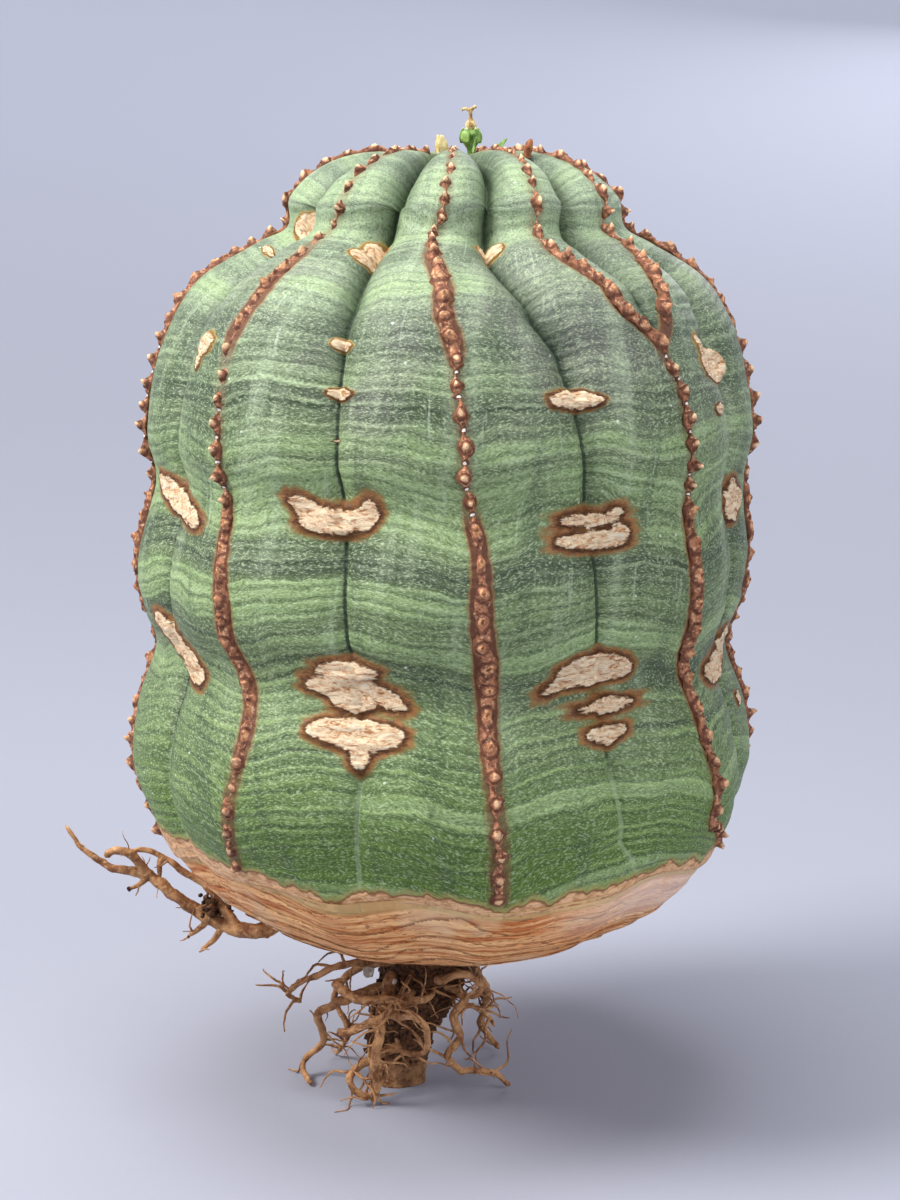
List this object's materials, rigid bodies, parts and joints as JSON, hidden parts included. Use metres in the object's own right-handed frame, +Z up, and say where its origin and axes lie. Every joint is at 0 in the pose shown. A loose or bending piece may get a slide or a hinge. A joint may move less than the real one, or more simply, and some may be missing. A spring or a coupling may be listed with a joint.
{
  "type": "baseball plant",
  "caption": "Swollen, ribbed green succulent stem with corky keels of small tubercles, a tan corky base, thin bare roots and a tiny flower cup at the apex.",
  "frame": {"origin": "on the floor, at the flat cut end of the taproot stump, below the stem", "axes": "+Z up along the stem, towards its apex; -Y is the front that the picture shows"},
  "size_m": [0.1072, 0.0971, 0.1519],
  "materials": {
    "green_skin": "matt, waxy grey-green plant skin",
    "brown_keel": "dry brown cork",
    "tan_cork": "dry papery cork",
    "root_bark": "dry root bark with soil",
    "young_green": "matt young plant tissue",
    "dry_tan": "dry plant tissue",
    "bud_yellow": "soft plant tissue",
    "dried_brown": "dried plant tissue"
  },
  "bodies": {
    "root": {"stem": "green_skin", "keel_front": "brown_keel", "keel_front_right": "brown_keel", "keel_right": "brown_keel", "keel_back_right": "brown_keel", "keel_back": "brown_keel", "keel_back_left": "brown_keel", "keel_left": "brown_keel", "keel_front_left": "brown_keel", "keel_fork": "brown_keel", "cork_base": "tan_cork", "root_bunch": "root_bark", "side_root": "root_bark", "cyathium": "young_green", "ovary_and_style": "dry_tan", "flower_bud": "bud_yellow", "old_peduncle": "dried_brown", "leaflet_right": "young_green", "leaflet_front": "young_green"}
  },
  "joints": []
}
